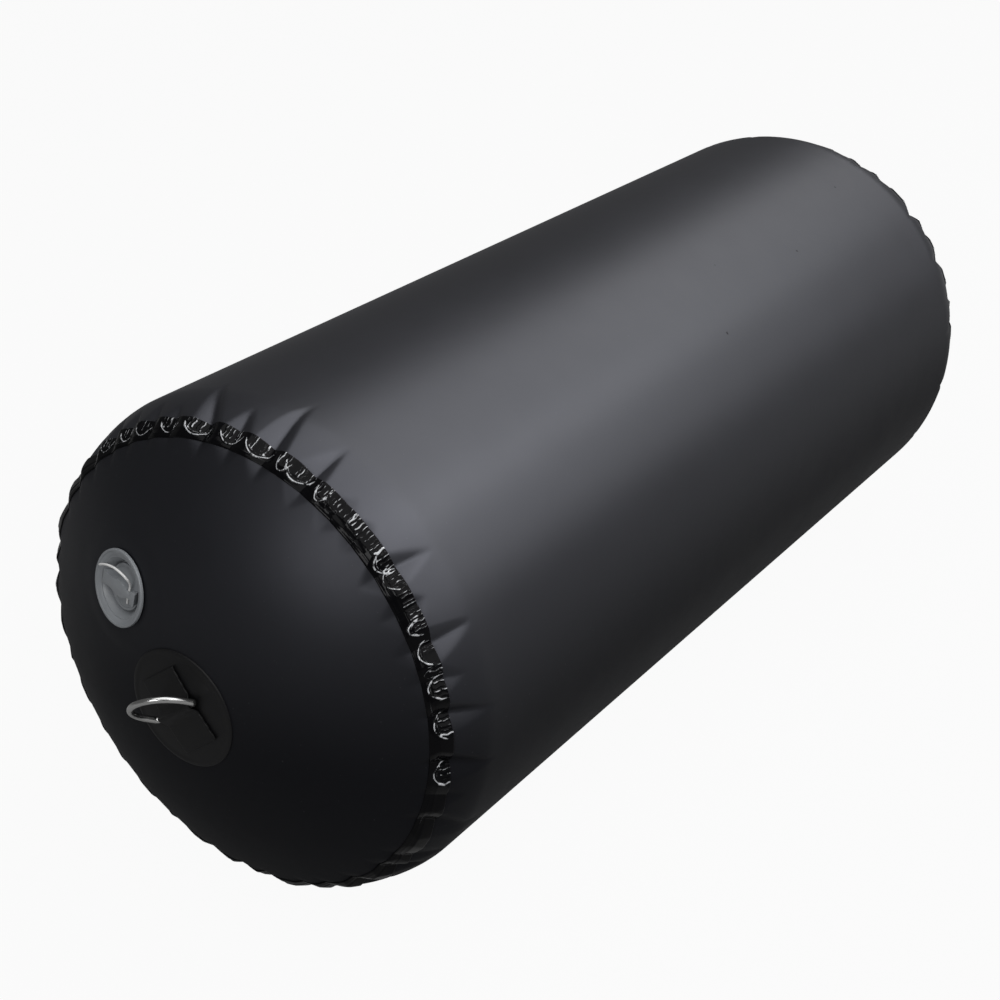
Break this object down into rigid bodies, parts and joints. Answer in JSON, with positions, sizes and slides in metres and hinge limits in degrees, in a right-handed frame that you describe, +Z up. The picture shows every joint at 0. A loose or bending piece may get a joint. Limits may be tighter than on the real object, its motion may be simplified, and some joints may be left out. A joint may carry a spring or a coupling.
{
  "type": "pneumatic fender",
  "caption": "Inflated black cylinder with domed ends and gathered, taped seams, a hinged D-ring on each end and a screw-cap inflation valve, to keep a hull off a quay.",
  "frame": {"origin": "under the middle of the body, on the surface it rests on", "axes": "+X along the body's long axis, away from the valve end; +Z up, away from the small flat it rests on"},
  "size_m": [1.2388, 0.45, 0.447],
  "materials": {
    "pvc_sheet": "satin black PVC-coated cloth",
    "seam_tape": "glossy black welded PVC tape",
    "ring_patch": "satin black reinforced PVC",
    "stainless": "polished stainless wire",
    "valve_grey": "grey moulded plastic, satin",
    "seal_rubber": "black rubber",
    "cord_white": "white braided cord"
  },
  "bodies": {
    "fender": {"sleeve": "pvc_sheet", "sleeve_joint_strip": "seam_tape", "front_end_disc": "pvc_sheet", "rear_end_disc": "pvc_sheet", "front_seam_tape": "seam_tape", "rear_seam_tape": "seam_tape", "front_ring_patch": "ring_patch", "front_ring_strap": "ring_patch", "rear_ring_patch": "ring_patch", "rear_ring_strap": "ring_patch", "valve_body": "valve_grey", "valve_washer": "seal_rubber", "valve_back_nut": "valve_grey", "valve_stem_guide": "valve_grey", "valve_spring": "stainless"},
    "front_ring": {"front_d_ring": "stainless"},
    "rear_ring": {"rear_d_ring": "stainless"},
    "stem": {"valve_stem": "valve_grey", "valve_poppet_seal": "seal_rubber"},
    "cap": {"valve_cap": "valve_grey", "cap_seal": "seal_rubber", "cap_cord": "cord_white"}
  },
  "joints": [
    {"name": "front_ring_swing", "type": "hinge", "parent": "fender", "child": "front_ring", "pos_m": [-0.58605, 0.002, 0.213], "axis": [0, -0.7986, 0.6018], "range_deg": [-50, 122]},
    {"name": "rear_ring_swing", "type": "hinge", "parent": "fender", "child": "rear_ring", "pos_m": [0.58605, -0.002, 0.213], "axis": [0, 0.7986, 0.6018], "range_deg": [-50, 122]},
    {"name": "cap_turn", "type": "hinge", "parent": "fender", "child": "cap", "pos_m": [-0.56903, 0.0709, 0.29671], "axis": [-0.9638, 0.1835, 0.1933], "range_deg": [0, 90], "deforming": ["cap_cord"]},
    {"name": "stem_push", "type": "slide", "parent": "fender", "child": "stem", "axis": [0.9638, -0.1835, -0.1933], "range_m": [0, 0.004], "stiffness_N_per_m": 400, "springref_m": -0.003, "deforming": ["valve_spring"]}
  ]
}
